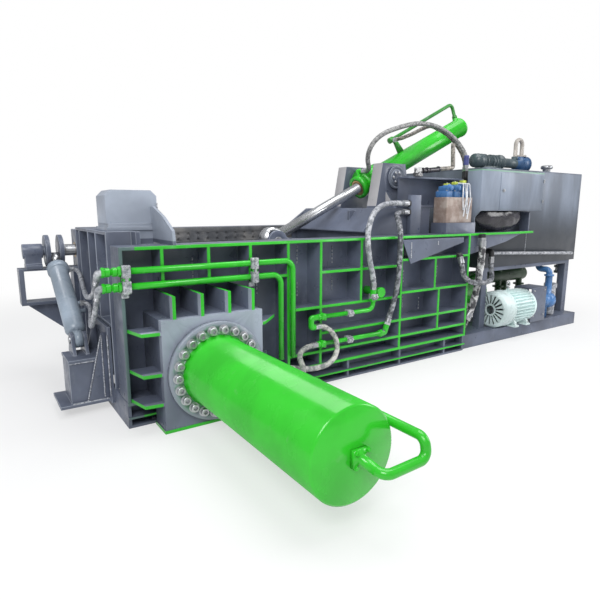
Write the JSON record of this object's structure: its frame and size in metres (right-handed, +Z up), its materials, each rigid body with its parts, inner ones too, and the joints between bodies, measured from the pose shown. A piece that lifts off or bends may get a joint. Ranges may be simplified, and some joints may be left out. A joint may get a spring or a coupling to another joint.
{
  "type": "hydraulic scrap metal baler",
  "caption": "Hydraulic scrap baler: ribbed press box with side and main rams, hinged lid, side discharge door and a power unit with tank and motor.",
  "frame": {"origin": "middle of the main frame, on the floor", "axes": "+X along the machine towards the power unit, +Y from the side ram to the discharge door, +Z up"},
  "size_m": [6.89, 3.893, 2.9256],
  "materials": {
    "frame_paint": "semi-gloss enamel on welded plate",
    "liner_steel": "rolled wear plate",
    "green_paint": "gloss enamel",
    "bolt_steel": "painted over",
    "bright_rod": "ground and plated",
    "pin_steel": "turned",
    "bronze": "turned",
    "pale_paint": "gloss enamel",
    "tank_paint": "semi-gloss enamel",
    "motor_paint": "gloss enamel",
    "pump_blue": "gloss enamel",
    "manifold_tan": "primed casting",
    "pipe_steel": "drawn tube"
  },
  "bodies": {
    "root": {"base_skid": "frame_paint", "bay_roof": "frame_paint", "box_liners": "liner_steel", "bushes": "bronze", "control_cabinet": "tank_paint", "cooler_pump": "pump_blue", "coupling_guard": "frame_paint", "cylinder_hood": "frame_paint", "deck": "frame_paint", "end_wall": "frame_paint", "far_side_wall": "frame_paint", "far_top_blade": "liner_steel", "flange_bolts": "bolt_steel", "hinge_pins": "pin_steel", "main_barrel": "green_paint", "main_pump": "pump_blue", "motor_frame": "motor_paint", "near_side_wall": "frame_paint", "oil_tank": "tank_paint", "power_base": "frame_paint", "ram_glands": "bronze", "rear_crosshead": "frame_paint", "shaft_support": "frame_paint", "side_barrel": "green_paint", "side_cylinder_mount": "frame_paint", "side_feed_pipe": "green_paint", "tank_cover": "tank_paint", "tip_bracket": "frame_paint", "trunnion_caps": "frame_paint", "tunnel_roof": "frame_paint", "valve_coils": "pump_blue", "valve_manifold": "manifold_tan", "wall_pipes": "green_paint"},
    "lid": {"lid": "frame_paint", "lid_pin": "pin_steel"},
    "lid_barrel": {"lid_barrel": "green_paint", "lid_gland": "bronze", "lid_feed_pipe": "green_paint"},
    "lid_rod": {"lid_rod": "bright_rod"},
    "side_ram": {"side_rod": "bright_rod", "side_pusher": "liner_steel"},
    "main_ram": {"main_rod": "bright_rod", "main_pusher": "liner_steel"},
    "discharge_door": {"discharge_door": "frame_paint", "door_shaft": "bright_rod", "crank_discs": "frame_paint", "crank_pin": "pin_steel"},
    "tip_barrel": {"tip_barrel": "pale_paint", "tip_gland": "bronze"},
    "tip_rod": {"tip_rod": "bright_rod"},
    "motor_rotor": {"motor_rotor": "bright_rod"},
    "breather_cap": {"breather_cap": "pipe_steel"}
  },
  "joints": [
    {"name": "lid_hinge", "type": "hinge", "parent": "root", "child": "lid", "pos_m": [0.305, 0, 1.18], "axis": [0, 1, 0], "range_deg": [0, 60]},
    {"name": "lid_trunnion", "type": "hinge", "parent": "root", "child": "lid_barrel", "pos_m": [1.232, 0, 1.95], "axis": [0, 1, 0], "range_deg": [0, 7.95]},
    {"name": "lid_stroke", "type": "slide", "parent": "lid_barrel", "child": "lid_rod", "axis": [0.9032, 0, 0.4292], "range_m": [0, 0.3985]},
    {"name": "side_stroke", "type": "slide", "parent": "root", "child": "side_ram", "axis": [0, 1, 0], "range_m": [0, 1.27]},
    {"name": "main_stroke", "type": "slide", "parent": "root", "child": "main_ram", "axis": [-1, 0, 0], "range_m": [0, 1.19]},
    {"name": "door_hinge", "type": "hinge", "parent": "root", "child": "discharge_door", "pos_m": [-1.3, 0.788, 1.22], "axis": [1, 0, 0], "range_deg": [0, 75]},
    {"name": "tip_pivot", "type": "hinge", "parent": "root", "child": "tip_barrel", "pos_m": [-2.082, -0.181, 0.56], "axis": [1, 0, 0], "range_deg": [-4.15, 0]},
    {"name": "tip_stroke", "type": "slide", "parent": "tip_barrel", "child": "tip_rod", "axis": [0, 0.842, 0.5394], "range_m": [0, 0.1115]},
    {"name": "motor_spin", "type": "hinge", "parent": "root", "child": "motor_rotor", "pos_m": [2.905, -0.765, 0.385], "axis": [1, 0, 0], "continuous": true},
    {"name": "breather_turn", "type": "hinge", "parent": "root", "child": "breather_cap", "pos_m": [3.825, -0.582, 2.09], "axis": [0, 0, 1], "range_deg": [0, 90]}
  ],
  "couplings": [
    {"joint": "lid_trunnion", "follows": "lid_hinge", "ratio": 0.1315},
    {"joint": "lid_stroke", "follows": "lid_hinge", "m_per_rad": 0.38},
    {"joint": "tip_pivot", "follows": "door_hinge", "ratio": -0.05461},
    {"joint": "tip_stroke", "follows": "door_hinge", "m_per_rad": 0.084786}
  ]
}
